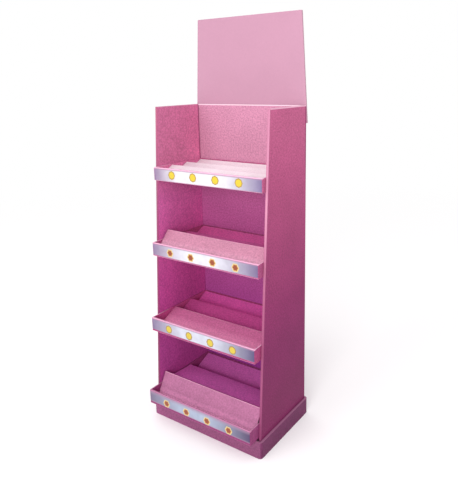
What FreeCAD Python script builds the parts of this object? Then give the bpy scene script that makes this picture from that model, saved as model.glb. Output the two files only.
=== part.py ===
import FreeCAD, Part
import math
import os

# Free-standing cardboard display stand: a folded body with four shelf trays, a header card
# and a base skirt. Millimetres, +Z up, front towards -Y, width along X.
# Everything is laid out from the outer face of the back panel (y = 0) and the floor (z = 0).
# save() then moves the origin to the middle of the footprint.

# Board and card
BOARD = 3.0                  # single corrugated board
RAMP_BOARD = 2.0             # thinner board of the stepped ramps
STRIP_CARD = 0.8             # printed card of the shelf edge strips
TAPE = 0.5                   # double-sided tape
FOLD_RADIUS = 1.2            # outside rounding of a creased fold
FIT = 0.3                    # clearance between pieces that slide or rest together

# Folded body
BODY_WIDTH = 491.0
BODY_HEIGHT = 1200.0
BODY_DEPTH_TOP = 233.0       # back panel to front edge, at the top
BODY_DEPTH_FOOT = 317.0      # the same, at the floor
SIDE_THICKNESS = 9.0         # outer layer, hollow and inner layer together
TUCK_LENGTH = 26.0           # flap tucked down inside the top of each side

# Header card
HEADER_RISE = 312.0          # above the body
HEADER_TAIL = 61.0           # below the top of the body, behind the back panel
HEADER_FLARE = 2.5           # foot of the tail beyond the side of the body
HEADER_TOP_INSET = 20.0      # top corner inside the side of the body
HEADER_THICKNESS = 6.0       # two boards glued back to back
HEADER_CORNER = 3.0
TAPE_WIDTH = 22.0
TAPE_END_INSET = 25.0        # tape to the side of the body
TAPE_EDGE = 5.0              # tape to the ends of the header tail
TAPE_ROWS = 2

# Base skirt and the riser inside it
SKIRT_HEIGHT = 65.0
SKIRT_THICKNESS = 9.0        # outer wall, hollow and the wall turned down inside
SKIRT_TURN_DOWN = 45.0
SKIRT_CORNER = 12.0
RISER_SETBACK = 15.0         # riser behind the foot of the sides' front edge

# Trays. The tuples run from the bottom tray up.
LOWEST_LIP_TOP = 128.0
TIER_PITCH = 290.0
TOP_TRAY_DROP = 12.0         # the top tray hangs this much below the even pitch
LIP_HEIGHTS = (56.0, 54.0, 51.0, 48.0)
LIP_REACHES = (55.0, 39.5, 31.0, 20.0)     # lip's front beyond the sides' front edge
LIP_SLIT = 0.4               # between the two layers of the rolled lip
TAB_LENGTH = 45.0            # tabs of the tray that hook into the sides
TAB_INSET = 35.0             # tab to the back wall, and to the side's front edge
TAB_END_GAP = 0.6            # tab end to the outer layer of the side

# Stepped ramp inserts
RAMPS = 3
RAMP_PITCHES = (92.0, 95.0, 93.0, 83.0)
FOOT_GAPS = (27.0, 18.0, 5.0, 2.0)         # lip to the foot of the front ramp
FRONT_RAMP_LIFTS = (60.0, None, 49.0, None)  # degrees that it is swung up, None where it lies down
INSERT_LEFT_GAP = 1.7        # the loose inserts lie a little to the left
INSERT_RIGHT_GAP = 6.7
CREST_BELOW_LIP = 2.0
REAR_GAP = 2.0               # back of the insert to the tray's back wall
FRONT_RAMP_LENGTH = 104.0    # sheet length of a front ramp that is swung up
FRONT_DROP_LENGTH = 60.0     # and of the panel behind it, down to the next valley
MIDDLE_CREST_PULLS = (26.0, 0.0, 0.0, 0.0)  # how far that drags the middle crest forward

# Shelf edge strips
STRIP_HEIGHT = 43.0
STRIP_TOP_MARGIN = 3.5
STRIP_END_MARGIN = 1.5

# Worked out from the sizes above
TRAY_WIDTH = BODY_WIDTH - 2 * SIDE_THICKNESS - 2 * FIT
HOLLOW = SIDE_THICKNESS - 2 * BOARD
BACK_INNER = -BOARD
TRAY_BACK = BACK_INNER - FIT
LEVELS = range(len(LIP_HEIGHTS))
TOP_LEVEL = len(LIP_HEIGHTS) - 1


def front_edge(z):
    """Y of the sides' sloping front edge at height z."""
    depth = BODY_DEPTH_FOOT + (BODY_DEPTH_TOP - BODY_DEPTH_FOOT) * z / BODY_HEIGHT
    return -depth


def lip_top(level):
    drop = TOP_TRAY_DROP if level == TOP_LEVEL else 0
    return LOWEST_LIP_TOP + level * TIER_PITCH - drop


def tray_underside(level):
    return lip_top(level) - LIP_HEIGHTS[level]


def lip_front(level):
    """Y of the lip's front face."""
    return front_edge(lip_top(level)) - LIP_REACHES[level]


FRONTMOST = min(lip_front(level) for level in LEVELS) - STRIP_CARD
REARMOST = max(TAPE + HEADER_THICKNESS, FIT + SKIRT_THICKNESS)
ORIGIN_Y = (FRONTMOST + REARMOST) / 2


def save(shape, name):
    """Move the origin under the middle of the whole stand and write the piece."""
    placed = shape.copy()
    placed.translate(FreeCAD.Vector(0, -ORIGIN_Y, 0))
    placed.exportStep(os.path.join("parts", name + ".step"))
    print(name, "solids", len(placed.Solids), "valid", placed.isValid(), "volume", round(placed.Volume))


def box(x0, x1, y0, y1, z0, z1):
    return Part.makeBox(x1 - x0, y1 - y0, z1 - z0, FreeCAD.Vector(x0, y0, z0))


def fuse(pieces):
    return pieces[0].fuse(pieces[1:]).removeSplitter()


def side_plate(points, x0, x1):
    """Plate with the outline points (y, z), from x0 to x1."""
    wire = Part.makePolygon([FreeCAD.Vector(x0, y, z) for y, z in points + points[:1]])
    return Part.Face(wire).extrude(FreeCAD.Vector(x1 - x0, 0, 0))


def front_plate(points, y0, y1):
    """Plate with the outline points (x, z), from y0 to y1."""
    wire = Part.makePolygon([FreeCAD.Vector(x, y0, z) for x, z in points + points[:1]])
    return Part.Face(wire).extrude(FreeCAD.Vector(0, y1 - y0, 0))


def round_edges(shape, wanted, radius):
    """Round each straight edge whose two ends pass the test wanted(a, b)."""
    edges = []
    for edge in shape.Edges:
        a, b = (vertex.Point for vertex in (edge.Vertexes[0], edge.Vertexes[-1]))
        if wanted(a, b):
            edges.append(edge)
    return shape.makeFillet(radius, edges)


def near(a, b):
    return abs(a - b) < 0.01


def mirrored(shape):
    return shape.mirror(FreeCAD.Vector(0, 0, 0), FreeCAD.Vector(1, 0, 0))


def side_wall():
    """The right side: outer layer, folded front edge, inner layer and the tucked top flap."""
    outer_x = BODY_WIDTH / 2
    inner_x = outer_x - SIDE_THICKNESS
    foot = (front_edge(0), 0)
    top = (front_edge(BODY_HEIGHT), BODY_HEIGHT)
    slope = (BODY_DEPTH_FOOT - BODY_DEPTH_TOP) / BODY_HEIGHT
    edge_depth = BOARD * math.hypot(1, slope)
    outer = side_plate([(0, 0), (0, BODY_HEIGHT), top, foot], outer_x - BOARD, outer_x)
    inner = side_plate([(TRAY_BACK, 0), (TRAY_BACK, BODY_HEIGHT), top, foot], inner_x, inner_x + BOARD)
    edge = side_plate([foot, top, (top[0] + edge_depth, BODY_HEIGHT), (foot[0] + edge_depth, 0)],
                      inner_x, outer_x)
    tuck_x = inner_x + BOARD + FIT
    tuck_front = top[0] + edge_depth + FIT
    flap = box(tuck_x, outer_x - BOARD, tuck_front, TRAY_BACK, BODY_HEIGHT - BOARD, BODY_HEIGHT)
    leg = box(tuck_x, tuck_x + HOLLOW - 2 * FIT, tuck_front + BOARD, TRAY_BACK,
              BODY_HEIGHT - TUCK_LENGTH, BODY_HEIGHT)
    return fuse([outer, inner, edge, flap, leg])


def tabs(level, side_gap, grow):
    """Right-hand pair of tabs of one tray, or with grow the slots that they hook into."""
    floor = tray_underside(level)
    start = TRAY_WIDTH / 2 - side_gap
    end = BODY_WIDTH / 2 - BOARD - TAB_END_GAP + grow
    rear = TRAY_BACK - TAB_INSET
    front = front_edge(lip_top(level)) + TAB_INSET
    low, high = floor - grow, floor + BOARD + grow
    return [box(start, end, rear - TAB_LENGTH - grow, rear + grow, low, high),
            box(start, end, front - grow, front + TAB_LENGTH + grow, low, high)]


def body_sleeve():
    """One folded sheet: the back panel and both hollow sides, slotted for the trays."""
    right = side_wall()
    for level in LEVELS:
        for slot in tabs(level, 0, FIT):
            right = right.cut(slot)
    back = box(-BODY_WIDTH / 2, BODY_WIDTH / 2, BACK_INNER, 0, 0, BODY_HEIGHT)
    body = fuse([back, right, mirrored(right)])

    def is_outer_fold(a, b):
        upright = abs(a.z - b.z) > BODY_HEIGHT - 1
        at_back = near(a.y, 0) and near(b.y, 0)
        at_front = near(a.y, front_edge(a.z)) and near(b.y, front_edge(b.z))
        on_fold = near(abs(a.x), BODY_WIDTH / 2) or near(abs(a.x), BODY_WIDTH / 2 - SIDE_THICKNESS)
        return upright and on_fold and (at_back or at_front)

    return round_edges(body, is_outer_fold, FOLD_RADIUS)


def header_card():
    """Tapered card behind the back panel."""
    y0 = TAPE
    low, high = BODY_HEIGHT - HEADER_TAIL, BODY_HEIGHT + HEADER_RISE
    foot, top = BODY_WIDTH / 2 + HEADER_FLARE, BODY_WIDTH / 2 - HEADER_TOP_INSET
    card = front_plate([(-foot, low), (foot, low), (top, high), (-top, high)], y0, y0 + HEADER_THICKNESS)

    def is_corner(a, b):
        return near(a.x, b.x) and near(a.z, b.z) and near(a.z, high)

    return round_edges(card, is_corner, HEADER_CORNER)


def header_tape():
    """Strips of double-sided tape between the header tail and the back panel."""
    first = BODY_HEIGHT - HEADER_TAIL + TAPE_EDGE
    last = BODY_HEIGHT - TAPE_EDGE - TAPE_WIDTH
    x = BODY_WIDTH / 2 - TAPE_END_INSET
    rows = []
    for row in range(TAPE_ROWS):
        z = first + (last - first) * row / max(TAPE_ROWS - 1, 1)
        rows.append(box(-x, x, 0, TAPE, z, z + TAPE_WIDTH))
    return Part.makeCompound(rows)


def rounded_block(x, y0, y1, z0, z1, radius):
    """Block from -x to x with its upright corners rounded."""
    block = box(-x, x, y0, y1, z0, z1)
    return round_edges(block, lambda a, b: near(a.x, b.x) and near(a.y, b.y), radius)


def base_skirt():
    """Band round the foot of the body, with its top edge turned down inside."""
    inner_x = BODY_WIDTH / 2 + FIT
    inner_front = front_edge(0) - FIT
    inner_back = FIT

    def ring(outset_in, outset_out, z0, z1):
        def block(outset, radius):
            return rounded_block(inner_x + outset, inner_front - outset, inner_back + outset, z0, z1, radius)
        corner = SKIRT_CORNER - SKIRT_THICKNESS
        # the innermost wall follows the folded corners of the body
        hole_radius = corner + outset_in if outset_in else FIT + FOLD_RADIUS
        outer_radius = corner + outset_out
        return block(outset_out, outer_radius).cut(block(outset_in, hole_radius))

    outer_wall = ring(SKIRT_THICKNESS - BOARD, SKIRT_THICKNESS, 0, SKIRT_HEIGHT)
    top_edge = ring(0, SKIRT_THICKNESS, SKIRT_HEIGHT - BOARD, SKIRT_HEIGHT)
    turn_down = ring(0, BOARD, SKIRT_HEIGHT - SKIRT_TURN_DOWN, SKIRT_HEIGHT)
    skirt = fuse([outer_wall, top_edge, turn_down])

    def is_top_fold(edge):
        box_ = edge.BoundBox
        return near(box_.ZMin, SKIRT_HEIGHT) and near(box_.ZMax, SKIRT_HEIGHT)

    return skirt.makeFillet(FOLD_RADIUS, [edge for edge in skirt.Edges if is_top_fold(edge)])


def base_riser():
    """Folded riser inside the foot, which carries the bottom tray."""
    x = TRAY_WIDTH / 2
    top = tray_underside(0) - FIT
    front = front_edge(0) + RISER_SETBACK
    panel = box(-x, x, front, TRAY_BACK, top - BOARD, top)
    front_wall = box(-x, x, front, front + BOARD, 0, top)
    rear_wall = box(-x, x, TRAY_BACK - BOARD, TRAY_BACK, 0, top)

    def is_fold(a, b):
        at_end = near(a.y, front) or near(a.y, TRAY_BACK)
        return near(a.z, top) and near(b.z, top) and near(a.y, b.y) and at_end

    return round_edges(fuse([panel, front_wall, rear_wall]), is_fold, FOLD_RADIUS)


def tray(level):
    """One folded tray: floor, upright sides and back, rolled front lip and side tabs."""
    x = TRAY_WIDTH / 2
    top = lip_top(level)
    floor = tray_underside(level)
    front = lip_front(level)
    lip_back = front + 2 * BOARD + LIP_SLIT
    panels = [
        box(-x, x, front, TRAY_BACK, floor, floor + BOARD),
        box(-x, x, front, front + BOARD, floor, top),
        box(-x, x, front, lip_back, top - BOARD, top),
        box(-x, x, lip_back - BOARD, lip_back, floor + BOARD + FIT, top),
        box(-x, x, TRAY_BACK - BOARD, TRAY_BACK, floor, top),
        box(x - BOARD, x, front, TRAY_BACK, floor, top),
        box(-x, -x + BOARD, front, TRAY_BACK, floor, top),
    ]
    for tab in tabs(level, BOARD, 0):
        panels += [tab, mirrored(tab)]

    def is_lip_fold(a, b):
        along = abs(a.x - b.x) > TRAY_WIDTH / 2
        on_lip = near(a.y, front) or near(a.y, lip_back)
        return along and near(a.z, top) and on_lip or along and near(a.y, front) and near(a.z, floor)

    return round_edges(fuse(panels), is_lip_fold, FOLD_RADIUS)


def offset_line(points, thickness):
    """Points of the same folded line, moved by thickness to its right-hand side."""
    normals = []
    for (y0, z0), (y1, z1) in zip(points, points[1:]):
        length = math.hypot(y1 - y0, z1 - z0)
        normals.append(((z1 - z0) / length, (y0 - y1) / length))
    moved = [(points[0][0] + thickness * normals[0][0], points[0][1] + thickness * normals[0][1])]
    for point, before, after in zip(points[1:-1], normals, normals[1:]):
        share = thickness / (1 + before[0] * after[0] + before[1] * after[1])
        moved.append((point[0] + share * (before[0] + after[0]), point[1] + share * (before[1] + after[1])))
    end, normal = points[-1], normals[-1]
    moved.append((end[0] + thickness * normal[0], end[1] + thickness * normal[1]))
    return moved


def circles_meet(a, radius_a, b, radius_b):
    """Lower of the two points that lie radius_a from a and radius_b from b."""
    dy, dz = b[0] - a[0], b[1] - a[1]
    gap = math.hypot(dy, dz)
    along = (radius_a ** 2 - radius_b ** 2 + gap ** 2) / (2 * gap)
    off = math.sqrt(max(radius_a ** 2 - along ** 2, 0))
    mid = (a[0] + along * dy / gap, a[1] + along * dz / gap)
    return (mid[0] + off * dz / gap, mid[1] - off * dy / gap)


def ramp_rise(level):
    """Height from a valley to a crest, which leaves room for the sharp fold under each valley."""
    room = LIP_HEIGHTS[level] - BOARD - FIT - CREST_BELOW_LIP
    slope = math.atan2(room, RAMP_PITCHES[level])
    fold_dip = RAMP_BOARD * (math.cos(slope) + (1 + math.sin(slope)) * math.tan(slope))
    return room - fold_dip


def ramp_line(level):
    """Upper side of the saw-tooth insert as points (y, height above the lowest valley)."""
    rise = ramp_rise(level)
    pitch = RAMP_PITCHES[level]
    front_stop = lip_front(level) + 2 * BOARD + LIP_SLIT
    last_crest = TRAY_BACK - BOARD - REAR_GAP
    crests = [last_crest - pitch * (RAMPS - 1 - i) for i in range(RAMPS)]
    foot = (front_stop + FOOT_GAPS[level], 0)
    if FRONT_RAMP_LIFTS[level] is None:
        line = [foot]
        for crest in crests:
            line += [(crest, rise), (crest, 0)]
        return line
    lift = math.radians(FRONT_RAMP_LIFTS[level])
    first = (foot[0] + FRONT_RAMP_LENGTH * math.cos(lift), FRONT_RAMP_LENGTH * math.sin(lift))
    second = (crests[1] - MIDDLE_CREST_PULLS[level], rise)
    third = (crests[2], rise)
    sheet = math.hypot(pitch, rise)
    return [foot, first, circles_meet(first, FRONT_DROP_LENGTH, second, sheet),
            second, circles_meet(second, rise, third, sheet), third, (third[0], 0)]


def stepped_insert(level):
    """Sheet folded into ramps that rise towards the back, resting in its tray."""
    upper = ramp_line(level)
    lower = offset_line(upper, RAMP_BOARD)
    inner_x = TRAY_WIDTH / 2 - BOARD
    sheet = side_plate(upper + lower[::-1], -inner_x + INSERT_LEFT_GAP, inner_x - INSERT_RIGHT_GAP)
    floor = tray_underside(level) + BOARD
    sheet.translate(FreeCAD.Vector(0, 0, floor + FIT - sheet.BoundBox.ZMin))
    return sheet


def shelf_strip(level):
    """Printed card strip on the front of a lip."""
    x = TRAY_WIDTH / 2 - STRIP_END_MARGIN
    front = lip_front(level)
    top = lip_top(level) - STRIP_TOP_MARGIN
    return box(-x, x, front - STRIP_CARD, front, top - STRIP_HEIGHT, top)


def main():
    os.makedirs("parts", exist_ok=True)
    save(body_sleeve(), "body_sleeve")
    save(header_card(), "header_card")
    save(header_tape(), "header_tape_strips")
    save(base_skirt(), "base_skirt")
    save(base_riser(), "base_riser")
    for level in LEVELS:
        number = len(LEVELS) - level
        save(tray(level), "tray_%d" % number)
        save(stepped_insert(level), "stepped_insert_%d" % number)
        save(shelf_strip(level), "shelf_edge_strip_%d" % number)


main()
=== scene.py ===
"""Looks for a free-standing cardboard display stand with four shelf trays and a header card."""
import logging
import math
from dataclasses import dataclass
from enum import Enum

import bpy
from mathutils import Matrix, Vector


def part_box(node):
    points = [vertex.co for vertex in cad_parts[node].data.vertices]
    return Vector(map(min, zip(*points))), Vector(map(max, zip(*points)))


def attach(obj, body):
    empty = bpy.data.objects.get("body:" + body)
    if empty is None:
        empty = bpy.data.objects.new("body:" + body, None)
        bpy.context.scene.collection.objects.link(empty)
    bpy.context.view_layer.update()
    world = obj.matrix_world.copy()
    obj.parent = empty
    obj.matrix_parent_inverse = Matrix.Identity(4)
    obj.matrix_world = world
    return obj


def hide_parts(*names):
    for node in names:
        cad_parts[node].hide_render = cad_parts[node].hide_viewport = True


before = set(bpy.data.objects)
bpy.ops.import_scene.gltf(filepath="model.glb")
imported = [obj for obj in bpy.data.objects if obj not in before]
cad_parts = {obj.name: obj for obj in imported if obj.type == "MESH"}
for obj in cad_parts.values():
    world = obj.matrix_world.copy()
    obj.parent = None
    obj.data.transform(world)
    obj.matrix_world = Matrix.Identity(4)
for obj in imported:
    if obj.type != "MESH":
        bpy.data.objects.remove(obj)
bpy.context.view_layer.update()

MM = 0.001
BODY = "root"
LOG = logging.getLogger("display_stand")

# Driving sizes shared with the source of the part, in millimetres
BOARD = 3.0                  # single corrugated board of the body, trays and skirt
RAMP_BOARD = 2.0             # thinner board of the stepped ramps
SIDE_THICKNESS = 9.0         # a hollow side of the body
SIDE_TAPER = 84.0            # the sides' front edge at the floor, in front of the same edge at the top
B_FLUTE = 6.4                # flute pitch of the 3 mm board
E_FLUTE = 3.2                # flute pitch of the 2 mm board

BOARD_MIDDLE = (0.4, 0.6)    # two depths in a board, as parts of its thickness, that part its faces
LINE_SOFTNESS = 0.1          # soft border of a printed or cut line, in millimetres
NOISE_SPAN = (0.3, 0.7)      # nearly all values of a noise texture lie between these


def srgb(code: str) -> tuple[float, float, float, float]:
    """Turn an sRGB hex colour into linear light.

    Args:
        code: the colour, as "#RRGGBB".

    Returns:
        Linear red, green, blue and an alpha of 1.
    """
    channels = [int(code[i:i + 2], 16) / 255 for i in (1, 3, 5)]
    red, green, blue = (c / 12.92 if c <= 0.04045 else ((c + 0.055) / 1.055) ** 2.4 for c in channels)
    return red, green, blue, 1.0


def add(tree: bpy.types.NodeTree, kind: str, inputs: dict | None = None,
        **settings: object) -> bpy.types.Node:
    """Add a shader node with its settings, constants and links.

    Args:
        tree: the material's node tree.
        kind: the node's type name.
        inputs: for each input's name or number, a constant, a socket, or a node whose first enabled output is
            linked.
        settings: attributes of the node.

    Returns:
        The new node.
    """
    node = tree.nodes.new(kind)
    for name, value in settings.items():
        setattr(node, name, value)
    for key, value in (inputs or {}).items():
        if isinstance(key, str):
            key = next(i for i, socket in enumerate(node.inputs) if socket.enabled and socket.name == key)
        if isinstance(value, bpy.types.Node):
            value = next(socket for socket in value.outputs if socket.enabled)
        if isinstance(value, bpy.types.NodeSocket):
            tree.links.new(value, node.inputs[key])
        else:
            node.inputs[key].default_value = value
    return node


def empty_material(name: str) -> bpy.types.Material:
    """Return a new material whose node tree is empty."""
    material = bpy.data.materials.new(name)
    material.use_nodes = True
    material.node_tree.nodes.clear()
    return material


class Axis(Enum):
    """What a mask is measured along, in metres or as a part of the surface direction."""

    X = "x"
    Y = "y"
    Z = "z"
    ASIDE = "distance from the middle plane"
    LEAN = "y less the lean of the sides' front edge"
    SIDEWAYS = "how far the surface faces sideways"
    ENDWAYS = "how far the surface faces front or back"
    LEVEL = "how far the surface faces up or down"
    UPWARD = "how far the surface faces up"


class Surface:
    """The places and directions of a surface, for the nodes of one material."""

    def __init__(self, tree: bpy.types.NodeTree) -> None:
        """Add the coordinate nodes."""
        self.tree = tree
        self.place = add(tree, "ShaderNodeTexCoord").outputs["Object"]
        x, y, z = add(tree, "ShaderNodeSeparateXYZ", {0: self.place}).outputs
        turn = add(tree, "ShaderNodeNewGeometry").outputs["True Normal"]
        across, along, up = add(tree, "ShaderNodeSeparateXYZ", {0: turn}).outputs
        slope = SIDE_TAPER * MM / (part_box("body_sleeve")[1].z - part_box("body_sleeve")[0].z)
        self.along = {
            Axis.X: x,
            Axis.Y: y,
            Axis.Z: z,
            Axis.ASIDE: add(tree, "ShaderNodeMath", {0: x}, operation="ABSOLUTE"),
            Axis.LEAN: add(tree, "ShaderNodeMath", {0: z, 1: -slope, 2: y}, operation="MULTIPLY_ADD"),
            Axis.SIDEWAYS: add(tree, "ShaderNodeMath", {0: across}, operation="ABSOLUTE"),
            Axis.ENDWAYS: add(tree, "ShaderNodeMath", {0: along}, operation="ABSOLUTE"),
            Axis.LEVEL: add(tree, "ShaderNodeMath", {0: up}, operation="ABSOLUTE"),
            Axis.UPWARD: up,
        }


@dataclass(frozen=True)
class Edge:
    """A mask that rises from 0 at low to 1 at high along one axis."""

    axis: Axis
    low: float
    high: float


Zone = tuple[Edge, ...]
Tones = tuple[tuple[float, str], ...]
SIDE_FACES = Edge(Axis.SIDEWAYS, 0.4, 0.6)


def plain(tone: str) -> Tones:
    """Return one tone for every height."""
    return (0, tone), (1, tone)


def mask(surface: Surface, zones: tuple[Zone, ...], strength: float = 1.0) -> bpy.types.Node:
    """Join zones into one mask.

    Args:
        surface: the coordinates of the material.
        zones: the mask holds in any zone, and a zone is where all its edges hold.
        strength: the highest value of the mask.

    Returns:
        The node that gives the mask.
    """
    tree = surface.tree
    whole = None
    for zone in zones:
        part = None
        for edge in zone:
            rise = add(tree, "ShaderNodeMapRange", {"Value": surface.along[edge.axis], "From Min": edge.low,
                                                    "From Max": edge.high, "To Max": strength})
            part = rise if part is None else add(tree, "ShaderNodeMath", {0: part, 1: rise},
                                                 operation="MINIMUM")
        whole = part if whole is None else add(tree, "ShaderNodeMath", {0: whole, 1: part},
                                               operation="MAXIMUM")
    return whole


@dataclass(frozen=True)
class InkAndPaintedLight:
    """A field of ink, of bare paper, or of painted light and shade: its colours by height in millimetres, and
    where it lies. Colours that change with height are painted shade and light, mostly darker lower down.
    """

    tones: Tones
    zones: tuple[Zone, ...] = ()
    strength: float = 1.0

    def over(self, surface: Surface, ground: bpy.types.Node | None) -> bpy.types.Node:
        """Lay this field over the ground.

        Args:
            surface: the coordinates of the material.
            ground: the colour so far, or None for the first field.

        Returns:
            The node that gives the new colour.
        """
        tree = surface.tree
        low, high = self.tones[0][0], self.tones[-1][0]
        height = add(tree, "ShaderNodeMapRange", {"Value": surface.along[Axis.Z], "From Min": low * MM,
                                                  "From Max": max(high, low + 1) * MM})
        tone = add(tree, "ShaderNodeValToRGB", {0: height})
        stops = tone.color_ramp.elements
        stops[0].color = srgb(self.tones[0][1])
        stops[1].color = srgb(self.tones[-1][1])
        for z, code in self.tones[1:-1]:
            stops.new((z - low) / (high - low)).color = srgb(code)
        if ground is None:
            return tone
        return add(tree, "ShaderNodeMix", {"Factor": mask(surface, self.zones, self.strength), "A": ground,
                                           "B": tone}, data_type="RGBA")


def uneven(surface: Surface, colour: bpy.types.Node, size: float, swing: float, detail: float,
           roughness: float) -> bpy.types.Node:
    """Make a colour patchy.

    Args:
        surface: the coordinates of the material.
        colour: the node that gives the even colour.
        size: width of the patches in millimetres.
        swing: how much lighter and darker they get, as a part of the colour.
        detail: how many finer layers the patches have.
        roughness: how strong the finer layers are.

    Returns:
        The node that gives the patchy colour.
    """
    tree = surface.tree
    noise = add(tree, "ShaderNodeTexNoise", {"Vector": surface.place, "Scale": 1 / (size * MM),
                                             "Detail": detail, "Roughness": roughness})
    gain = add(tree, "ShaderNodeMapRange", {"Value": noise, "From Min": NOISE_SPAN[0],
                                            "From Max": NOISE_SPAN[1],
                                            "To Min": 1 - swing, "To Max": 1 + swing})
    return add(tree, "ShaderNodeVectorMath", {0: colour, "Scale": gain}, operation="SCALE")


class Flutes(Enum):
    """Which way the corrugation runs, by the two axes that it repeats along."""

    UPRIGHT = (Axis.X, Axis.Y)
    CROSSWISE = (Axis.Y, Axis.Z)


@dataclass(frozen=True)
class CutEdge:
    """A cut edge of board, which shows bare liners and the wave of the flutes between them."""

    zones: tuple[Zone, ...]
    across: Axis
    middle: float
    boards: int = 1
    thickness: float = BOARD
    pitch: float = B_FLUTE
    liner: float = 0.45
    softness: float = 0.4
    paper: str = "#CDA5B4"
    hollow: str = "#8C5C72"

    def over(self, surface: Surface, ground: bpy.types.Node) -> bpy.types.Node:
        """Lay the cut edge over the ground.

        Args:
            surface: the coordinates of the material.
            ground: the colour so far.

        Returns:
            The node that gives the new colour.
        """
        tree = surface.tree
        off = add(tree, "ShaderNodeMath", {0: surface.along[self.across], 1: self.middle * MM},
                  operation="SUBTRACT")
        if self.boards == 2:
            size = add(tree, "ShaderNodeMath", {0: off}, operation="ABSOLUTE")
            off = add(tree, "ShaderNodeMath", {0: size, 1: self.thickness / 2 * MM}, operation="SUBTRACT")
        run = add(tree, "ShaderNodeMath", {0: surface.along[Axis.X], 1: surface.along[Axis.Z]})
        if self.across is Axis.Z:
            run = add(tree, "ShaderNodeMath", {0: surface.along[Axis.X], 1: surface.along[Axis.Y]})
        turn = add(tree, "ShaderNodeMath", {0: run, 1: 2 * math.pi / (self.pitch * MM)}, operation="MULTIPLY")
        wave = add(tree, "ShaderNodeMath", {0: turn}, operation="SINE")
        swing = (self.thickness / 2 - self.liner) * MM
        gap = add(tree, "ShaderNodeMath", {0: wave, 1: -swing, 2: off}, operation="MULTIPLY_ADD")
        gap = add(tree, "ShaderNodeMath", {0: gap}, operation="ABSOLUTE")
        flute = add(tree, "ShaderNodeMapRange", {"Value": gap,
                                                 "From Min": self.liner * (1 + self.softness) * MM,
                                                 "From Max": self.liner * (1 - self.softness) * MM})
        depth = add(tree, "ShaderNodeMath", {0: off}, operation="ABSOLUTE")
        liners = add(tree, "ShaderNodeMapRange", {"Value": depth, "From Min": swing,
                                                  "From Max": swing + LINE_SOFTNESS * MM})
        solid = add(tree, "ShaderNodeMath", {0: flute, 1: liners}, operation="MAXIMUM")
        edge = add(tree, "ShaderNodeMix", {"Factor": solid, "A": srgb(self.hollow), "B": srgb(self.paper)},
                   data_type="RGBA")
        return add(tree, "ShaderNodeMix", {"Factor": mask(surface, self.zones), "A": ground, "B": edge},
                   data_type="RGBA")


@dataclass(frozen=True)
class PrintedBoard:
    """Corrugated board, offset printed on its liner and finished with matt varnish.

    The ink lies unevenly on the fibres, so the pink is faintly grainy, the flutes show through as a
    shallow washboard, the ink is pale along folds, partly where it cracked and partly as painted highlight
    where the rounded folds meet the light, and cut edges show bare paper. The tones also carry painted
    shade, darker lower down and in the back corners, and painted light where the shade in recesses is lifted.
    """

    name: str
    # Base fields of ink; the tones that change with height are painted shade
    inks_and_shade: tuple[InkAndPaintedLight, ...]
    # Marks laid over the grain: bare paper at cut edges, pale folds with painted highlight, painted shade in
    # corners
    bare: tuple[InkAndPaintedLight | CutEdge, ...] = ()
    flutes: Flutes = Flutes.UPRIGHT
    pitch: float = B_FLUTE
    roughness: float = 0.6
    grain_size: float = 6.0
    grain: float = 0.26
    cloud_size: float = 120.0
    cloud: float = 0.05
    washboard: float = 0.05
    fibre_size: float = 1.2
    fibre: float = 0.03

    def build(self) -> bpy.types.Material:
        """Return the material."""
        material = empty_material(self.name)
        tree = material.node_tree
        surface = Surface(tree)
        colour = None
        for ink in self.inks_and_shade:
            colour = ink.over(surface, colour)
        colour = uneven(surface, colour, self.grain_size, self.grain, 3.0, 0.65)
        colour = uneven(surface, colour, self.cloud_size, self.cloud, 1.0, 0.65)
        for field in self.bare:
            colour = field.over(surface, colour)
        shader = add(tree, "ShaderNodeBsdfPrincipled", {"Base Color": colour, "Roughness": self.roughness,
                                                        "IOR": 1.45, "Specular IOR Level": 0.2,
                                                        "Normal": self.relief(surface)})
        add(tree, "ShaderNodeOutputMaterial", {"Surface": shader})
        return material

    def relief(self, surface: Surface) -> bpy.types.Node:
        """Raise the washboard of the flutes and the fibres of the liner.

        Args:
            surface: the coordinates of the material.

        Returns:
            The node that gives the surface direction.
        """
        tree = surface.tree
        first, second = self.flutes.value
        run = add(tree, "ShaderNodeMath", {0: surface.along[first], 1: surface.along[second]})
        line = add(tree, "ShaderNodeCombineXYZ", {0: run})
        # A wave texture repeats every pi / 10 units at scale 1
        wave = add(tree, "ShaderNodeTexWave", {"Vector": line, "Scale": math.pi / 10 / (self.pitch * MM)},
                   bands_direction="X").outputs["Fac"]
        fibre = add(tree, "ShaderNodeTexNoise", {"Vector": surface.place, "Scale": 1 / (self.fibre_size * MM),
                                                 "Detail": 2.0})
        board = add(tree, "ShaderNodeBump", {"Height": wave, "Distance": self.washboard * MM,
                                             "Strength": 1.0})
        return add(tree, "ShaderNodeBump", {"Height": fibre, "Distance": self.fibre * MM, "Strength": 1.0,
                                            "Normal": board})


class Spot(Enum):
    """The printed spots: number of petals, how far they swell as a part of the radius, and rings.

    Each ring has its colour and its depth inside the outline in millimetres.
    """

    SUN = (8, 0.035, (("#9C7C38", 0.0), ("#C6AE26", 3.6)))
    # Painted shade: a darker copy of the sun spot
    GOLD = (8, 0.035, (("#8C6E3C", 0.0), ("#BCA62E", 3.8)))
    AMBER = (6, 0.06, (("#C6B27A", 0.0), ("#AC7736", 3.4), ("#83360E", 5.8)))


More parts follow.
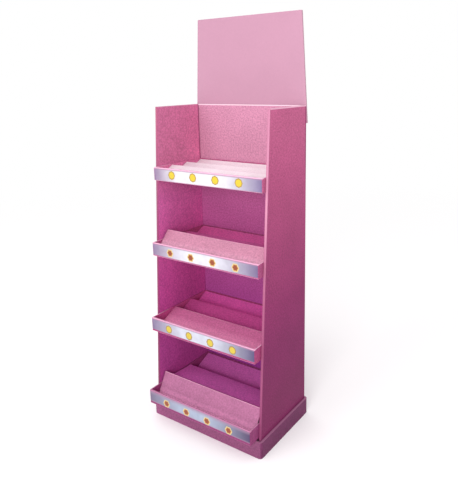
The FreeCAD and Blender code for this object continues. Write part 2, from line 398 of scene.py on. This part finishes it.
@dataclass(frozen=True)
class CoatedCard:
    """Gloss-coated card, printed with a lilac fade, a mauve border and a row of plain petalled spots.

    The coating gives the strip a soft shine, and the print is smooth, faintly cloudy and sharp at its edges.
    """

    name: str
    middle_x: float
    spot_z: float
    spot: Spot
    left: str
    middle: str
    right: str
    half_width: float
    top: float
    foot: float
    border: str = "#94708C"
    border_width: float = 4.5
    border_line: float = 1.5
    border_strength: float = 0.7
    spots: tuple[float, ...] = (-150.0, -52.0, 46.0, 144.0)
    spot_radius: float = 16.0
    spot_softness: float = 0.4
    plateau: tuple[float, float] = (0.33, 0.6)
    cloud_size: float = 24.0
    cloud: float = 0.07
    ripple_size: float = 14.0
    ripple: float = 0.15

    def build(self) -> bpy.types.Material:
        """Return the material."""
        material = empty_material(self.name)
        tree = material.node_tree
        surface = Surface(tree)
        x = surface.along[Axis.X]
        fade = add(tree, "ShaderNodeMapRange", {"Value": x,
                                                "From Min": (self.middle_x - self.half_width) * MM,
                                                "From Max": (self.middle_x + self.half_width) * MM})
        ramp = add(tree, "ShaderNodeValToRGB", {0: fade})
        stops = ramp.color_ramp.elements
        stops[0].color, stops[1].color = srgb(self.left), srgb(self.right)
        for place in self.plateau:
            stops.new(place).color = srgb(self.middle)
        print_tone = uneven(surface, ramp, self.cloud_size, self.cloud, 2.0, 0.5)
        borders = ((Edge(Axis.Z, self.top - self.border_width * MM, self.top - self.border_line * MM),),
                   (Edge(Axis.Z, self.foot + self.border_width * MM / 2, self.foot),))
        cover = mask(surface, borders, self.border_strength)
        print_tone = add(tree, "ShaderNodeMix", {"Factor": cover, "A": print_tone, "B": srgb(self.border)},
                         data_type="RGBA")
        inside = self.depth_in_spots(surface)
        for code, depth in self.spot.value[2]:
            shape = add(tree, "ShaderNodeMapRange", {"Value": inside,
                                                     "From Min": (depth - self.spot_softness) * MM,
                                                     "From Max": (depth + self.spot_softness) * MM})
            print_tone = add(tree, "ShaderNodeMix", {"Factor": shape, "A": print_tone, "B": srgb(code)},
                             data_type="RGBA")
        ripple = add(tree, "ShaderNodeTexNoise", {"Vector": surface.place,
                                                  "Scale": 1 / (self.ripple_size * MM), "Detail": 2.0})
        normal = add(tree, "ShaderNodeBump", {"Height": ripple, "Distance": self.ripple * MM,
                                              "Strength": 1.0})
        shader = add(tree, "ShaderNodeBsdfPrincipled", {"Base Color": print_tone, "Roughness": 0.38,
                                                        "IOR": 1.5, "Coat Weight": 0.25,
                                                        "Coat Roughness": 0.2, "Normal": normal})
        add(tree, "ShaderNodeOutputMaterial", {"Surface": shader})
        return material

    def depth_in_spots(self, surface: Surface) -> bpy.types.Node:
        """Measure how far inside the nearest spot's outline a point lies.

        Args:
            surface: the coordinates of the material.

        Returns:
            The node that gives the depth in metres, below 0 outside the spots.
        """
        tree = surface.tree
        petals, swelling, _ = self.spot.value
        deepest = None
        for x in self.spots:
            dx = add(tree, "ShaderNodeMath", {0: surface.along[Axis.X], 1: (self.middle_x + x) * MM},
                     operation="SUBTRACT")
            dz = add(tree, "ShaderNodeMath", {0: surface.along[Axis.Z], 1: self.spot_z * MM},
                     operation="SUBTRACT")
            spread = add(tree, "ShaderNodeCombineXYZ", {0: dx, 1: dz})
            radius = add(tree, "ShaderNodeVectorMath", {0: spread}, operation="LENGTH").outputs["Value"]
            angle = add(tree, "ShaderNodeMath", {0: dz, 1: dx}, operation="ARCTAN2")
            turns = add(tree, "ShaderNodeMath", {0: angle, 1: float(petals)}, operation="MULTIPLY")
            swell = add(tree, "ShaderNodeMath", {0: turns}, operation="COSINE")
            edge = add(tree, "ShaderNodeMath", {0: swell, 1: swelling * self.spot_radius * MM,
                                                2: (1 - swelling) * self.spot_radius * MM},
                       operation="MULTIPLY_ADD")
            depth = add(tree, "ShaderNodeMath", {0: edge, 1: radius}, operation="SUBTRACT")
            deepest = depth if deepest is None else add(tree, "ShaderNodeMath", {0: deepest, 1: depth},
                                                        operation="MAXIMUM")
        return deepest


@dataclass(frozen=True)
class ClearTape:
    """Clear polypropylene tape with acrylic glue on both sides, slightly milky and smooth."""

    name: str = "clear_double_sided_tape"
    tint: str = "#E9E4DA"
    cloud: str = "#D9D2C4"
    ripple_size: float = 6.0
    ripple: float = 0.05

    def build(self) -> bpy.types.Material:
        """Return the material."""
        material = empty_material(self.name)
        tree = material.node_tree
        surface = Surface(tree)
        ripple = add(tree, "ShaderNodeTexNoise", {"Vector": surface.place,
                                                  "Scale": 1 / (self.ripple_size * MM)})
        normal = add(tree, "ShaderNodeBump", {"Height": ripple, "Distance": self.ripple * MM})
        tone = add(tree, "ShaderNodeMix", {"Factor": ripple, "A": srgb(self.tint), "B": srgb(self.cloud)},
                   data_type="RGBA")
        shader = add(tree, "ShaderNodeBsdfPrincipled", {"Base Color": tone, "Roughness": 0.3,
                                                        "Normal": normal})
        add(tree, "ShaderNodeOutputMaterial", {"Surface": shader})
        return material


def dress(node: str, finish: PrintedBoard | CoatedCard | ClearTape) -> None:
    """Give a CAD node its finish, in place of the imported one.

    Args:
        node: name of the CAD node.
        finish: the finish whose material it gets.
    """
    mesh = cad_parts[node].data
    material = finish.build()
    if mesh.materials:
        mesh.materials[0] = material
    else:
        mesh.materials.append(material)
    LOG.info("dressed %s with %s", node, finish.name)


def alone(piece: bpy.types.Object) -> None:
    """Select one object only and make it the active one.

    Args:
        piece: the object.
    """
    bpy.ops.object.select_all(action="DESELECT")
    piece.select_set(True)
    bpy.context.view_layer.objects.active = piece


@dataclass
class Sleeve:
    """The folded body: back panel and hollow tapered sides."""

    node: str = "body_sleeve"
    fold_width: float = 4.2
    strip_depth: float = 3.0
    strip_line: float = 0.3
    wall_softness: float = 0.2
    right_fade: tuple[float, float] = (4.0, 0.5)
    # Painted shade: the back, the inner and the outer sides darken from top to bottom, the lower bays most,
    # and the outer sides are darker than the back, as faces that get less light
    back_tones: Tones = (
        (200, "#8E3588"), (560, "#AD4F90"), (860, "#B35C91"), (1000, "#BD819B"))
    inner_tones: Tones = (
        (280, "#B14891"), (560, "#C5519A"), (860, "#CF6AA8"), (1000, "#C06D92"))
    outer_tones: Tones = (
        (180, "#722150"), (340, "#751F53"), (520, "#82265B"), (740, "#933866"), (960, "#A54873"),
        (1130, "#B2567E"))
    # The right front fold strip: pale where the ink is worn along the fold, with painted highlight that makes
    # it paler than the left strip, and painted shade that darkens it lower down
    worn_and_lit_fold_tones: Tones = (
        (0, "#843D64"), (560, "#985172"), (880, "#C07F9B"), (1200, "#B77792"))
    # The front fold strips: painted shade, darker lower down
    fold_tones: Tones = (
        (270, "#7F365B"), (560, "#883860"), (880, "#904C6B"), (1150, "#A45976"))
    # Painted light: the inner sides are lighter towards the back, lifting the shade in the rear corners of
    # the bays
    deep_tones: Tones = (
        (280, "#B14891"), (560, "#CB549F"), (860, "#DB70B2"), (1000, "#E07FAA"), (1100, "#D378A0"))
    deep_fade: tuple[float, float] = (110.0, 15.0)
    # Painted shade: the width, the fade by height and the strength of a dark line down the inner back corners
    corner_width: tuple[float, float] = (2.5, 6.0)
    corner_fade: tuple[float, float] = (900.0, 1020.0)
    corner_strength: float = 0.85
    # Pale top fold of the sides: worn along the fold, with painted highlight, full on the right side and
    # faint on the left
    top_tone: str = "#DDA9C0"
    # Painted shade in the inner back corners
    corner_shade_tone: str = "#7A2A58"
    back_top_tone: str = "#E8CAD7"
    back_top_width: float = 4.5

    def build(self) -> None:
        """Dress the body."""
        low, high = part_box(self.node)
        wall = high.x - (SIDE_THICKNESS - BOARD) * MM
        nearer, farther = (part * BOARD * MM for part in BOARD_MIDDLE)
        side_inner = (SIDE_FACES, Edge(Axis.ASIDE, wall + self.wall_softness * MM,
                                       wall - self.wall_softness * MM))
        outer_back = (Edge(Axis.Y, high.y - farther, high.y - nearer),)
        strip = Edge(Axis.LEAN, low.y + self.strip_depth * MM, low.y + self.strip_line * MM)
        right = Edge(Axis.X, wall - self.right_fade[0] * MM, wall - self.right_fade[1] * MM)
        left = Edge(Axis.X, 0, -1 * MM)
        top = Edge(Axis.Z, high.z - self.fold_width * MM, high.z - self.fold_width / 2 * MM)
        near, far = self.corner_width
        # Painted shade in the inner back corners
        corner = (Edge(Axis.ASIDE, wall - far * MM, wall - near * MM),
                  Edge(Axis.Y, high.y - (BOARD + far) * MM, high.y - (BOARD + near) * MM),
                  Edge(Axis.Y, high.y - nearer, high.y - farther),
                  Edge(Axis.Z, self.corner_fade[0] * MM, self.corner_fade[1] * MM))
        # Painted light on the inner sides near the back
        deep = side_inner + (Edge(Axis.Y, high.y - self.deep_fade[0] * MM, high.y - self.deep_fade[1] * MM),)
        back_top = (Edge(Axis.Z, high.z - self.back_top_width * MM, high.z - self.back_top_width / 2 * MM),
                    Edge(Axis.Y, high.y - (BOARD + 0.5) * MM, high.y - BOARD * MM),
                    Edge(Axis.ASIDE, wall, wall - 1 * MM))
        level = Edge(Axis.LEVEL, 0.8, 0.95)
        cut = ((level, Edge(Axis.Y, high.y - (BOARD + 0.5) * MM, high.y - BOARD * MM)),
               (level, Edge(Axis.Z, low.z + 1 * MM, low.z)))
        dress(self.node, PrintedBoard(
            "body_printed_and_shaded_b_flute_board",
            (InkAndPaintedLight(self.back_tones), InkAndPaintedLight(self.outer_tones, ((SIDE_FACES,), outer_back)),
             InkAndPaintedLight(self.inner_tones, (side_inner,)), InkAndPaintedLight(self.deep_tones, (deep,))),
            (InkAndPaintedLight(plain(self.corner_shade_tone), (corner,), self.corner_strength),
             # Pale top folds: worn, with painted highlight
             InkAndPaintedLight(plain(self.top_tone), ((top, right),)),
             InkAndPaintedLight(plain(self.top_tone), ((top, left),), 0.3),
             InkAndPaintedLight(self.fold_tones, ((strip,),)), InkAndPaintedLight(self.worn_and_lit_fold_tones, ((strip, right),)),
             InkAndPaintedLight(plain(self.back_top_tone), (back_top,)),
             CutEdge(cut, Axis.Y, high.y / MM - BOARD / 2))))


@dataclass
class Header:
    """The tapered header card and its tape."""

    node: str = "header_card"
    tape: str = "header_tape_strips"
    tone: str = "#B3859A"

    def build(self) -> None:
        """Dress the header and the tape behind the body."""
        low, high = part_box(self.node)
        cut = ((Edge(Axis.ENDWAYS, 0.6, 0.4),),)
        dress(self.node, PrintedBoard("header_printed_b_flute_board", (InkAndPaintedLight(plain(self.tone)),),
                                      (CutEdge(cut, Axis.Y, (low.y + high.y) / 2 / MM, boards=2),),
                                      roughness=0.5, grain=0.02, cloud=0.015))
        dress(self.tape, ClearTape())


@dataclass
class Base:
    """The skirt round the foot and the riser inside it."""

    skirt: str = "base_skirt"
    riser: str = "base_riser"
    fold_width: float = 1.8
    front_tones: tuple[str, str] = ("#8B4C72", "#7C4365")
    # Painted shade: the skirt's sides are darker than its front, as sides that get less light; the riser
    # takes the same tone
    side_shade_tone: str = "#662B51"
    # Painted highlight along the skirt's top fold
    fold_tone: str = "#96607F"

    def build(self) -> None:
        """Dress both pieces, the skirt's front a little darker to the right."""
        low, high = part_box(self.skirt)
        left, right = self.front_tones
        fold = ((Edge(Axis.Z, high.z - self.fold_width * MM, high.z - 0.3 * MM),),)
        dress(self.skirt, PrintedBoard(
            "skirt_printed_and_shaded_b_flute_board",
            (InkAndPaintedLight(plain(left)), InkAndPaintedLight(plain(right), ((Edge(Axis.X, low.x, high.x),),)),
             InkAndPaintedLight(plain(self.side_shade_tone), ((Edge(Axis.SIDEWAYS, 0.4, 0.8),),))),
            (InkAndPaintedLight(plain(self.fold_tone), fold),)))
        dress(self.riser, PrintedBoard("riser_printed_b_flute_board",
                                       (InkAndPaintedLight(plain(self.side_shade_tone)),)))


@dataclass
class Tray:
    """One shelf tray with its rolled lip."""

    number: int
    # Each tray's tone: painted shade, darker from tray 1 down to tray 4
    tone: str
    # Painted light: a lighter tone on the tray's end walls beside the body, lifting their shade
    well_tone: str
    # Painted highlight along the lip's folds and the rims near the lip; dimmer on the lower trays, as painted
    # shade
    fold_tone: str
    lip_fold: float = 3.6
    lip_reach: tuple[float, float] = (9.0, 8.0)
    rim_fold: float = 1.6
    rim_fade: tuple[float, float] = (50.0, 110.0)

    @property
    def node(self) -> str:
        """Name of the CAD node."""
        return f"tray_{self.number}"

    def build(self) -> None:
        """Dress the tray, with painted highlight along the lip's folds and along the rims near it, and
        painted light on its end walls.
        """
        low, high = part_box(self.node)
        lip = (Edge(Axis.Z, high.z - self.lip_fold * MM, high.z - (self.lip_fold - 1) * MM),
               Edge(Axis.Y, low.y + self.lip_reach[0] * MM, low.y + self.lip_reach[1] * MM))
        rim = (Edge(Axis.Z, high.z - self.rim_fold * MM, high.z - self.rim_fold / 2 * MM),
               Edge(Axis.Y, low.y + self.rim_fade[1] * MM, low.y + self.rim_fade[0] * MM))
        under = (Edge(Axis.Z, low.z + self.rim_fold * MM, low.z + self.rim_fold / 2 * MM),
                 Edge(Axis.Y, low.y + self.rim_fold * MM, low.y + self.rim_fold / 2 * MM))
        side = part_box("body_sleeve")[1].x - SIDE_THICKNESS * MM
        # Painted light on the end walls beside the body
        well = (SIDE_FACES,
                Edge(Axis.ASIDE, side - BOARD_MIDDLE[0] * BOARD * MM, side - BOARD_MIDDLE[1] * BOARD * MM))
        dress(self.node, PrintedBoard(f"tray_{self.number}_printed_b_flute_board",
                                      (InkAndPaintedLight(plain(self.tone)),
                                       InkAndPaintedLight(plain(self.well_tone), (well,))),
                                      (InkAndPaintedLight(plain(self.fold_tone), (lip, rim, under)),),
                                      flutes=Flutes.CROSSWISE))


@dataclass
class RampSheet:
    """One sheet of thin board, creased into three ramps that rise towards the back."""

    number: int
    pitch: float
    # Painted light and shade: the tone of each ramp stands in for the light that reaches it, lifted for the
    # ramps further back
    tones: tuple[str, str, str]
    # Painted light: a lighter tone at the foot of the front ramp, by the lip, lifting the shade there
    foot_tone: str
    foot_fade: tuple[float, float]
    # Painted highlight on the front crest; the same tone marks the bare cut sides and underside
    fold_tone: str = "#D9A0BA"
    lift: float | None = None
    crest_below_rim: float = 2.0
    middle_pull: float = 0.0
    front_length: float = 104.0
    drop_length: float = 60.0
    ramps: int = 3
    grain: float = 0.2
    crease: float = 1.6
    cross_cuts: int = 18
    warp: float = 0.7
    slow_wave: float = 9.0
    quick_wave: float = 23.0
    quick_share: float = 0.6
    wave_shift: float = 1.7
    cut_softness: float = 0.3
    step_fade: float = 6.0
    crest_band: tuple[float, float] = (3.0, 1.5)

    @property
    def node(self) -> str:
        """Name of the CAD node that the sheet stands for."""
        return f"stepped_insert_{self.number}"

    def profile(self) -> list[tuple[float, float]]:
        """Work out where the folds lie.

        Returns:
            The upper side of the sheet as points (y, z) from the lip to the back, in metres.
        """
        low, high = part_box(self.node)
        valley = low.z + RAMP_BOARD * MM
        pitch = self.pitch * MM
        crests = [high.y - pitch * (self.ramps - 1 - i) for i in range(self.ramps)]
        foot = Vector((low.y + 0.5 * MM, valley))
        if self.lift is None:
            folds = [foot]
            for y in crests:
                folds += [Vector((y, high.z)), Vector((y, valley))]
            return [tuple(fold) for fold in folds]
        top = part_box(f"tray_{self.number}")[1].z - self.crest_below_rim * MM
        turn = math.radians(self.lift)
        rise = top - valley
        ramp = math.hypot(pitch, rise)
        first = foot + self.front_length * MM * Vector((math.cos(turn), math.sin(turn)))
        second = Vector((crests[1] - self.middle_pull * MM, top))
        third = Vector((crests[2], top))
        folds = [foot, first, self.hinge(first, self.drop_length * MM, second, ramp), second,
                 self.hinge(second, rise, third, ramp), third, Vector((third.x, valley))]
        return [tuple(fold) for fold in folds]

    @staticmethod
    def hinge(a: Vector, reach_a: float, b: Vector, reach_b: float) -> Vector:
        """Find the lower point that lies reach_a from a and reach_b from b.

        Args:
            a: the first point.
            reach_a: distance from it.
            b: the second point.
            reach_b: distance from that.

        Returns:
            The point.
        """
        apart = b - a
        along = (reach_a ** 2 - reach_b ** 2 + apart.length_squared) / (2 * apart.length)
        off = math.sqrt(max(reach_a ** 2 - along ** 2, 0.0))
        across = Vector((apart.y, -apart.x)).normalized()
        return a + apart.normalized() * along + across * off

    def fold(self) -> bpy.types.Object:
        """Extrude the sheet along its profile.

        Returns:
            The sheet, still without thickness.
        """
        low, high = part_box(self.node)
        points = self.profile()
        bpy.ops.object.select_all(action="DESELECT")
        bpy.ops.mesh.primitive_plane_add(size=1, location=(0, 0, 0))
        sheet = bpy.context.active_object
        sheet.name = f"ramp_sheet_{self.number}"
        bpy.ops.object.mode_set(mode="EDIT")
        bpy.ops.mesh.select_all(action="SELECT")
        bpy.ops.transform.resize(value=(high.x - low.x, 0, 1))
        bpy.ops.mesh.remove_doubles(threshold=0.1 * MM)
        bpy.ops.transform.translate(value=((high.x + low.x) / 2, points[0][0], points[0][1]))
        for (y0, z0), (y1, z1) in zip(points, points[1:]):
            bpy.ops.mesh.extrude_edges_move(TRANSFORM_OT_translate={"value": (0, y1 - y0, z1 - z0)})
        bpy.ops.object.mode_set(mode="OBJECT")
        return sheet

    def crease_folds(self, sheet: bpy.types.Object) -> None:
        """Round each fold, and cut the sheet across so that it can bow a little.

        Args:
            sheet: the folded sheet.
        """
        alone(sheet)
        bpy.ops.object.mode_set(mode="EDIT")
        bpy.ops.mesh.select_mode(type="EDGE")
        bpy.ops.mesh.select_all(action="SELECT")
        bpy.ops.mesh.normals_make_consistent(inside=False)
        bpy.ops.mesh.select_all(action="DESELECT")
        bpy.ops.object.mode_set(mode="OBJECT")
        faces_at = {edge.key: 0 for edge in sheet.data.edges}
        for face in sheet.data.polygons:
            for key in face.edge_keys:
                faces_at[key] += 1
        for edge in sheet.data.edges:
            edge.select = faces_at[edge.key] == 2
        bpy.ops.object.mode_set(mode="EDIT")
        bpy.ops.mesh.bevel(offset=self.crease * MM, segments=3, affect="EDGES")
        low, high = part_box(self.node)
        for cut in range(1, self.cross_cuts):
            x = low.x + (high.x - low.x) * cut / self.cross_cuts
            bpy.ops.mesh.select_all(action="SELECT")
            bpy.ops.mesh.bisect(plane_co=(x, 0, 0), plane_no=(1, 0, 0))
        bpy.ops.object.mode_set(mode="OBJECT")

    def bow(self, sheet: bpy.types.Object) -> None:
        """Let the free crests bow and ripple a little, as thin board does.

        Args:
            sheet: the creased sheet.
        """
        low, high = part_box(self.node)
        slack = self.warp * MM
        for vertex in sheet.data.vertices:
            across = (vertex.co.x - low.x) / (high.x - low.x)
            lifted = slack * (vertex.co.z - low.z) / (high.z - low.z)
            ripple = (math.sin(across * self.slow_wave + self.number * self.wave_shift)
                      + self.quick_share * math.sin(across * self.quick_wave + self.number))
            sag = 0.9 * math.sin(across * math.pi) + 0.35 * (1 + ripple / (1 + self.quick_share))
            vertex.co.z -= lifted * sag
            vertex.co.y += lifted * (0.4 * ripple - 0.7)

    def thicken(self, sheet: bpy.types.Object) -> None:
        """Give the sheet its thickness and soft cut edges.

        Args:
            sheet: the bowed sheet.
        """
        alone(sheet)
        solid = sheet.modifiers.new("board", "SOLIDIFY")
        solid.thickness = RAMP_BOARD * MM
        solid.offset = -1
        bpy.ops.object.modifier_apply(modifier=solid.name)
        edge = sheet.modifiers.new("soft_edge", "BEVEL")
        edge.width = self.cut_softness * MM
        edge.segments = 1
        edge.limit_method = "ANGLE"
        edge.angle_limit = math.radians(60)
        bpy.ops.object.modifier_apply(modifier=edge.name)
        bpy.ops.object.shade_smooth_by_angle(angle=math.radians(35))

    def finish(self) -> PrintedBoard:
        """Choose the sheet's board: a tone for each ramp as painted light and shade, a lighter foot as
        painted light, a painted highlight on the front crest, and bare board on the cut sides and below.

        Returns:
            The finish.
        """
        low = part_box(self.node)[0]
        points = self.profile()
        foot = (Edge(Axis.Z, low.z + self.foot_fade[0] * MM, low.z + self.foot_fade[1] * MM),)
        behind = [Edge(Axis.Y, points[i][0], points[i][0] + self.step_fade * MM) for i in (1, 3)]
        front, middle, rear = (plain(tone) for tone in self.tones)
        y, z = points[1]
        wide, narrow = (reach * MM for reach in self.crest_band)
        crest = (Edge(Axis.Y, y - wide, y - narrow), Edge(Axis.Y, y + wide, y + narrow),
                 Edge(Axis.Z, z - wide, z - narrow))
        # The crest band is painted highlight; the cut sides and the underside are bare board
        bare = (crest, (Edge(Axis.SIDEWAYS, 0.6, 0.8),), (Edge(Axis.UPWARD, -0.05, -0.3),))
        return PrintedBoard(f"ramp_{self.number}_printed_e_flute_board",
                            (InkAndPaintedLight(front), InkAndPaintedLight(plain(self.foot_tone), (foot,)),
                             InkAndPaintedLight(middle, ((behind[0],),)), InkAndPaintedLight(rear, ((behind[1],),))),
                            (InkAndPaintedLight(plain(self.fold_tone), bare),),
                            flutes=Flutes.CROSSWISE, pitch=E_FLUTE, grain=self.grain, washboard=0.03)

    def build(self) -> None:
        """Model the sheet and dress it."""
        sheet = self.fold()
        self.crease_folds(sheet)
        self.bow(sheet)
        self.thicken(sheet)
        sheet.data.materials.append(self.finish().build())
        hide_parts(self.node)
        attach(sheet, BODY)
        LOG.info("modelled %s", sheet.name)


@dataclass
class EdgeStrip:
    """Printed card strip on the front of a lip."""

    number: int
    spot: Spot
    spot_drop: float
    left: str
    middle: str
    right: str
    plateau: tuple[float, float] = (0.33, 0.6)
    border_width: float = 4.5

    def build(self) -> None:
        """Dress the strip."""
        node = f"shelf_edge_strip_{self.number}"
        low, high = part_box(node)
        dress(node, CoatedCard(f"strip_{self.number}_gloss_coated_card", (low.x + high.x) / 2 / MM,
                               (low.z + high.z) / 2 / MM - self.spot_drop, self.spot,
                               self.left, self.middle, self.right, (high.x - low.x) / 2 / MM,
                               high.z, low.z, border_width=self.border_width, plateau=self.plateau))


@dataclass
class SoftLight:
    """One large soft light of the studio."""

    name: str
    at: tuple[float, float, float]
    aim: tuple[float, float, float]
    size: float
    power: float

    def build(self) -> None:
        """Place the light and aim it."""
        bpy.ops.object.select_all(action="DESELECT")
        bpy.ops.object.light_add(type="AREA", location=self.at)
        light = bpy.context.active_object
        light.name = self.name
        light.data.size = self.size
        light.data.energy = self.power
        light.rotation_euler = (Vector(self.aim) - Vector(self.at)).to_track_quat("-Z", "Y").to_euler()


@dataclass
class Studio:
    """Pale floor, white surround and soft lights.

    The floor is matt white background paper: an even pale ground that takes a soft shadow and fades into
    white far from the stand.
    """

    floor_size: float = 24.0
    floor_sides: int = 96
    paper_tone: str = "#FAF8F9"
    white: str = "#FFFFFF"
    fade: tuple[float, float] = (0.8, 5.0)
    seen_white: float = 1.0
    room_light: float = 1.0
    lights: tuple[SoftLight, ...] = (
        SoftLight("key_from_above_front", (-0.9, -2.2, 3.4), (0, 0, 0.9), 1.6, 26.0),
        SoftLight("front_fill", (1.1, -3.0, 1.5), (0, 0, 0.7), 1.4, 60.0))

    def floor(self) -> None:
        """Lay a pale matt floor that fades into the white surround."""
        bpy.ops.object.select_all(action="DESELECT")
        bpy.ops.mesh.primitive_circle_add(vertices=self.floor_sides, radius=self.floor_size / 2,
                                          fill_type="NGON", location=(0, 0, 0))
        floor = bpy.context.active_object
        floor.name = "studio_floor"
        bpy.ops.object.mode_set(mode="EDIT")
        bpy.ops.mesh.select_all(action="SELECT")
        bpy.ops.mesh.inset(thickness=self.floor_size / 4)
        bpy.ops.object.mode_set(mode="OBJECT")
        material = empty_material("matt_white_studio_paper")
        tree = material.node_tree
        place = add(tree, "ShaderNodeTexCoord").outputs["Object"]
        away = add(tree, "ShaderNodeVectorMath", {0: place}, operation="LENGTH").outputs["Value"]
        far = add(tree, "ShaderNodeMapRange", {"Value": away, "From Min": self.fade[0],
                                               "From Max": self.fade[1]})
        paper = add(tree, "ShaderNodeBsdfDiffuse", {"Color": srgb(self.paper_tone)})
        glow = add(tree, "ShaderNodeEmission", {"Color": srgb(self.white), "Strength": self.seen_white})
        mix = add(tree, "ShaderNodeMixShader", {0: far, 1: paper, 2: glow})
        add(tree, "ShaderNodeOutputMaterial", {"Surface": mix})
        floor.data.materials.append(material)

    def surround(self) -> None:
        """Set the even surround, which looks white and lights the room softly."""
        world = bpy.data.worlds.new("white_surround")
        bpy.context.scene.world = world
        world.use_nodes = True
        tree = world.node_tree
        tree.nodes.clear()
        seen = add(tree, "ShaderNodeLightPath").outputs["Is Camera Ray"]
        strength = add(tree, "ShaderNodeMapRange", {"Value": seen, "To Min": self.room_light,
                                                    "To Max": self.seen_white})
        back = add(tree, "ShaderNodeBackground", {"Color": srgb(self.white), "Strength": strength})
        add(tree, "ShaderNodeOutputWorld", {"Surface": back})

    def build(self) -> None:
        """Build the floor, the surround and the lights."""
        self.floor()
        self.surround()
        for light in self.lights:
            light.build()
        bpy.context.scene.view_settings.view_transform = "Standard"


@dataclass
class PhotoCamera:
    """Camera at the photograph's viewing angle."""

    azimuth: float = 34.536
    elevation: float = 13.895
    roll: float = -1.0
    lens: float = 38.853
    shift: tuple[float, float] = (-0.04878, -0.0691)
    at: tuple[float, float, float] = (1.14527, -1.46636, 1.28552)

    def build(self) -> None:
        """Place the camera."""
        turn, tilt, roll = (math.radians(v) for v in (self.azimuth, self.elevation, self.roll))
        back = Vector((math.sin(turn) * math.cos(tilt), -math.cos(turn) * math.cos(tilt), math.sin(tilt)))
        level = Vector((0, 0, 1)).cross(back).normalized()
        upward = back.cross(level)
        right = level * math.cos(roll) + upward * math.sin(roll)
        up = -level * math.sin(roll) + upward * math.cos(roll)
        bpy.ops.object.select_all(action="DESELECT")
        bpy.ops.object.camera_add(location=self.at)
        camera = bpy.context.active_object
        camera.name = "photo_camera"
        camera.rotation_euler = Matrix((right, up, back)).transposed().to_euler()
        camera.data.lens = self.lens
        camera.data.shift_x, camera.data.shift_y = self.shift
        bpy.context.scene.camera = camera


def main() -> None:
    """Build the camera, the studio and every piece of the stand."""
    logging.basicConfig(level=logging.INFO, format="%(name)s: %(message)s")
    PhotoCamera().build()
    Studio().build()
    pieces = (
        Sleeve(), Header(), Base(),
        # Tray tones darken from tray 1 to tray 4 as painted shade, the well tones are painted light and the
        # fold tones painted highlight, dimmer on tray 4
        Tray(1, "#B0587F", "#D87AA4", "#DCACC5"), Tray(2, "#A04C76", "#B75888", "#DDA4BF"),
        Tray(3, "#993D6A", "#B94C85", "#D79FBC"), Tray(4, "#833765", "#9B4178", "#B27496"),
        # Ramp tones are painted light and shade, the foot tones painted light
        RampSheet(1, 83.0, ("#E8DBE1", "#E8DBE1", "#E8DBE1"), "#E8DBE1", (2.0, 0.0), fold_tone="#DDB8CA",
                  grain=0.07),
        RampSheet(2, 93.0, ("#BB8098", "#CE6AA6", "#DB6AAC"), "#D59BB4", (49.0, 34.0), lift=49.0),
        RampSheet(3, 95.0, ("#BA648E", "#BA4B8B", "#DA5EAC"), "#ED95BE", (33.0, 12.0)),
        RampSheet(4, 92.0, ("#A9698C", "#E072C6", "#CE68B4"), "#E998C5", (42.0, 20.0), lift=60.0,
                  crest_below_rim=4.4, middle_pull=26.0),
        # The strips share one print; their tones darken from strip 1 down to strip 4 as painted shade
        EdgeStrip(1, Spot.SUN, -1.5, "#7D6387", "#CCC9CE", "#6B5D84", (0.24, 0.66)),
        EdgeStrip(2, Spot.AMBER, 2.5, "#775E82", "#C6C4CD", "#615077"),
        EdgeStrip(3, Spot.GOLD, 3.0, "#6B597D", "#B6B7C4", "#423561"),
        EdgeStrip(4, Spot.AMBER, 6.0, "#615270", "#949DB2", "#3A244F", border_width=13.0))
    for piece in pieces:
        piece.build()


if __name__ == "__main__":
    main()
